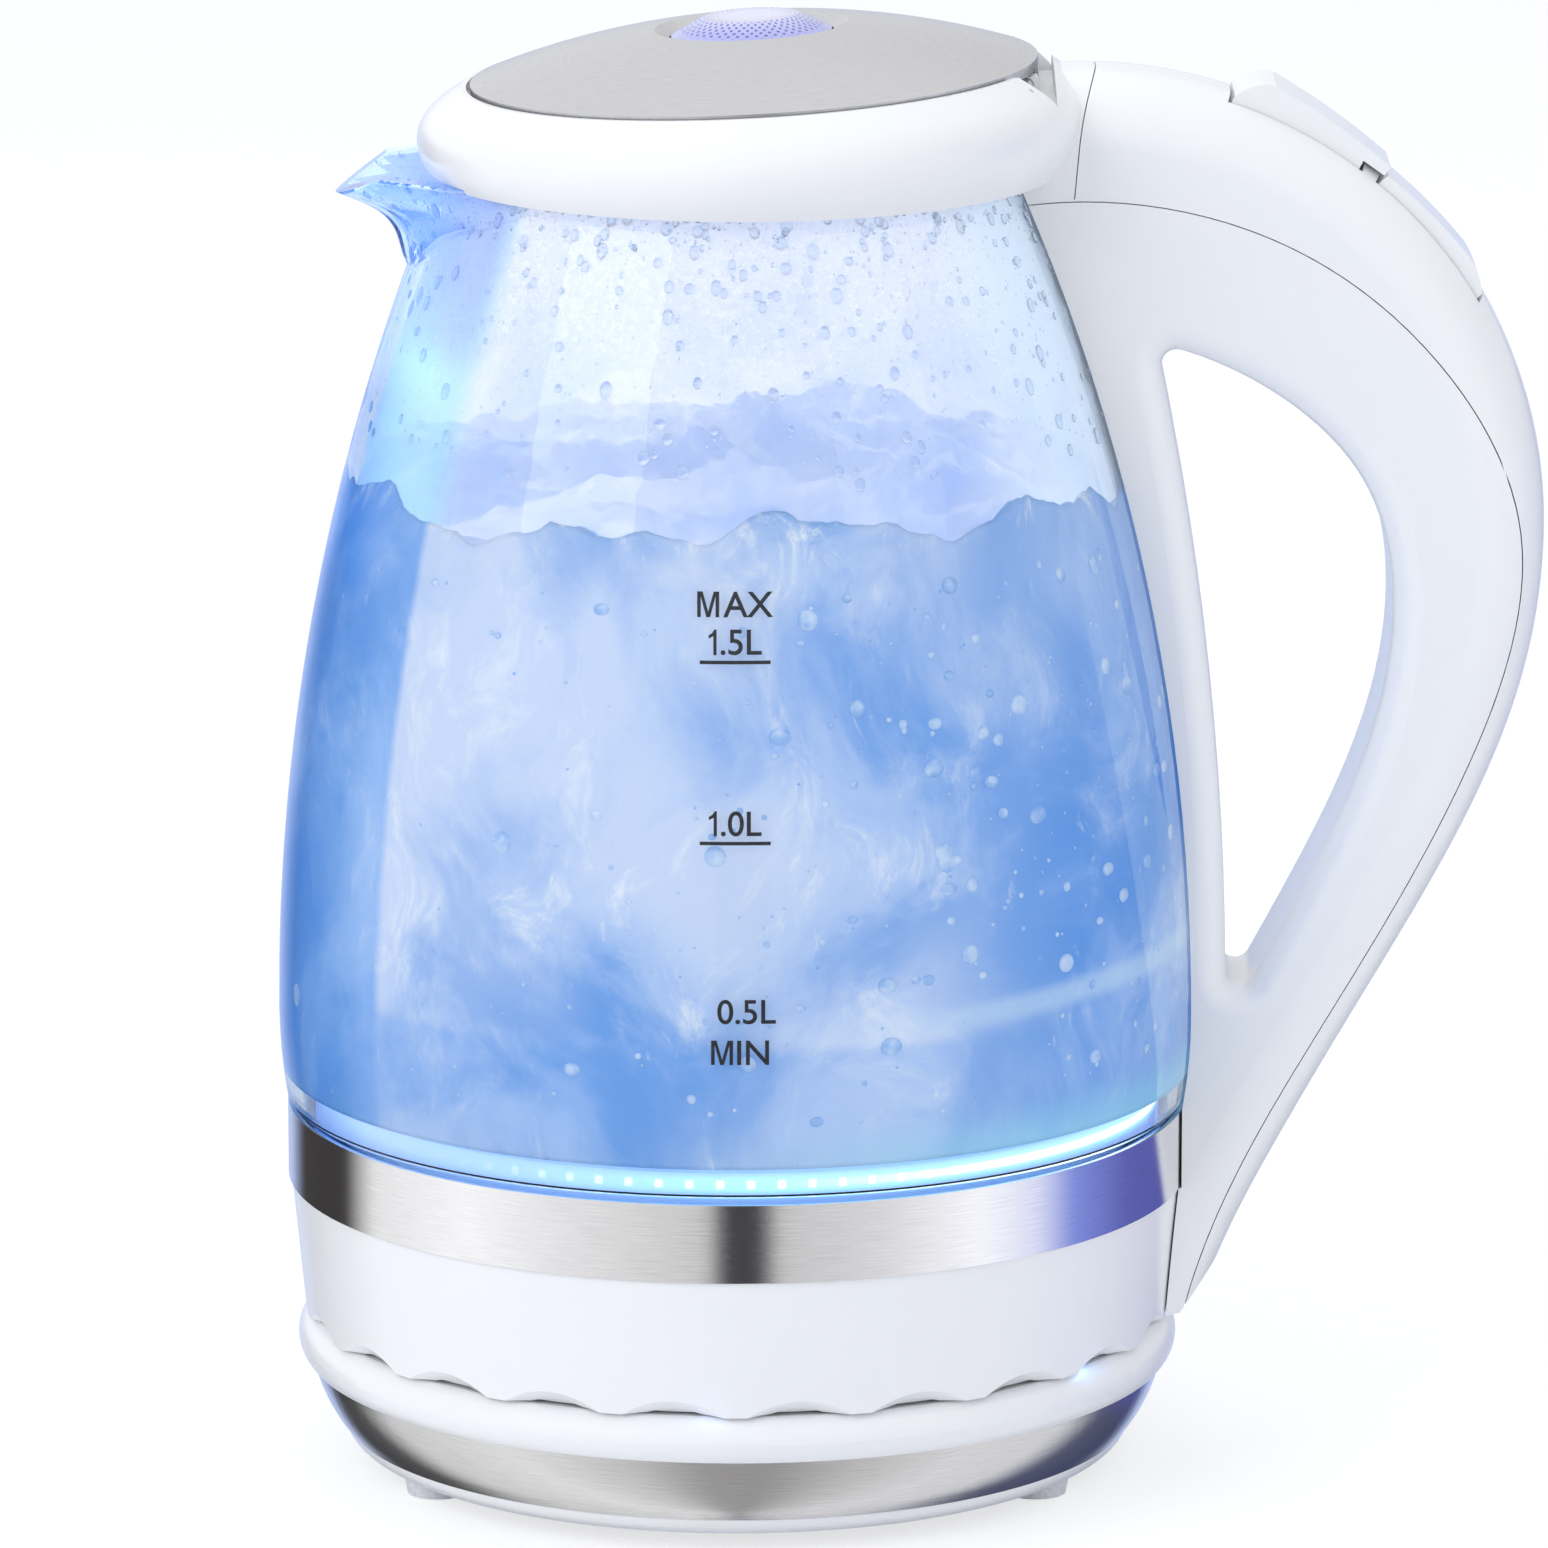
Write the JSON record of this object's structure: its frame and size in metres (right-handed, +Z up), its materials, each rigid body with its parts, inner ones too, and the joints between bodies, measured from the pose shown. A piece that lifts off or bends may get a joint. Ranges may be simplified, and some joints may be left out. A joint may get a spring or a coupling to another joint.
{
  "type": "electric kettle",
  "caption": "Cordless glass electric kettle on a round power base, with a lit glass jug, hinged steel lid, pinched spout and a looped handle with lid button and switch",
  "frame": {"origin": "on the jug's axis at table level, under the middle of the power base", "axes": "+Z up along the jug's axis, +X towards the handle, -X towards the spout, -Y towards the volume marks"},
  "size_m": [0.2202, 0.1614, 0.2555],
  "materials": {
    "white_plastic": "smooth glossy moulding",
    "brushed_steel": "fine brushed",
    "plain_steel": "plain bright",
    "clear_glass": "polished clear",
    "clear_plastic": "clear light guide",
    "window_plastic": "translucent, dotted",
    "grey_rubber": "matt",
    "clear_silicone": "translucent silicone",
    "brass": "plain",
    "aluminium": "plain cast",
    "dark_plastic": "fine matt",
    "board_green": "lacquered board",
    "led_lens": "clear lamp",
    "wire_white": "sleeved wires"
  },
  "bodies": {
    "power_base": {"base_bottom_cover": "white_plastic", "base_feet": "grey_rubber", "base_steel_ring": "brushed_steel", "cord_gland": "grey_rubber", "base_top_cover": "white_plastic", "base_screws": "plain_steel", "base_socket": "dark_plastic", "socket_contacts": "brass"},
    "connector": {"kettle_connector": "dark_plastic", "connector_contacts": "brass"},
    "jug": {"base_skirt": "white_plastic", "steel_band": "brushed_steel", "jug_bottom": "white_plastic", "jug_screws": "plain_steel", "plate_seal": "clear_silicone", "heating_plate": "brushed_steel", "heat_spreader": "aluminium", "heating_element": "plain_steel", "control_unit": "dark_plastic", "bimetal_discs": "plain_steel", "light_ring": "clear_plastic", "led_board": "board_green", "led_lamps": "led_lens", "glass_jug": "clear_glass", "collar_seal": "clear_silicone", "handle_body": "white_plastic", "handle_cover": "white_plastic", "steam_switch": "dark_plastic", "wire_harness": "wire_white", "handle_screws": "plain_steel", "top_collar": "white_plastic", "hinge_pin": "plain_steel", "lid_spring": "plain_steel", "button_pins": "plain_steel"},
    "lid": {"lid_cap": "brushed_steel", "lid_window": "window_plastic", "lid_body": "white_plastic", "lid_seal": "clear_silicone", "lid_liner": "brushed_steel", "lid_screws": "plain_steel"},
    "lid_button": {"lid_button": "white_plastic"},
    "lid_latch": {"lid_latch": "dark_plastic"},
    "power_switch": {"power_switch": "white_plastic"},
    "switch_lever": {"switch_lever": "dark_plastic"}
  },
  "joints": [
    {"name": "jug_lift", "type": "slide", "parent": "power_base", "child": "connector", "axis": [0, 0, 1], "range_m": [0, 0.06]},
    {"name": "jug_swivel", "type": "hinge", "parent": "connector", "child": "jug", "pos_m": [0, 0, 0.04], "axis": [0, 0, 1], "continuous": true},
    {"name": "lid_hinge", "type": "hinge", "parent": "jug", "child": "lid", "pos_m": [0.04963, 0, 0.24492], "axis": [0, 1, 0], "range_deg": [0, 75]},
    {"name": "lid_button_press", "type": "hinge", "parent": "jug", "child": "lid_button", "pos_m": [0.10394, 0, 0.22818], "axis": [0, -1, 0], "range_deg": [0, 8], "stiffness_Nm_per_rad": 0.5},
    {"name": "lid_latch_slide", "type": "slide", "parent": "jug", "child": "lid_latch", "axis": [1, 0, 0], "range_m": [0, 0.003]},
    {"name": "power_switch_rock", "type": "hinge", "parent": "jug", "child": "power_switch", "pos_m": [0.11016, 0, 0.22277], "axis": [0, 1, 0], "range_deg": [0, 5]},
    {"name": "switch_lever_turn", "type": "hinge", "parent": "jug", "child": "switch_lever", "pos_m": [0.10586, 0, 0.20298], "axis": [0, 1, 0], "range_deg": [-18, 0]}
  ],
  "couplings": [
    {"joint": "lid_latch_slide", "follows": "lid_button_press", "m_per_rad": 0.0214},
    {"joint": "switch_lever_turn", "follows": "power_switch_rock", "ratio": -2.19}
  ]
}
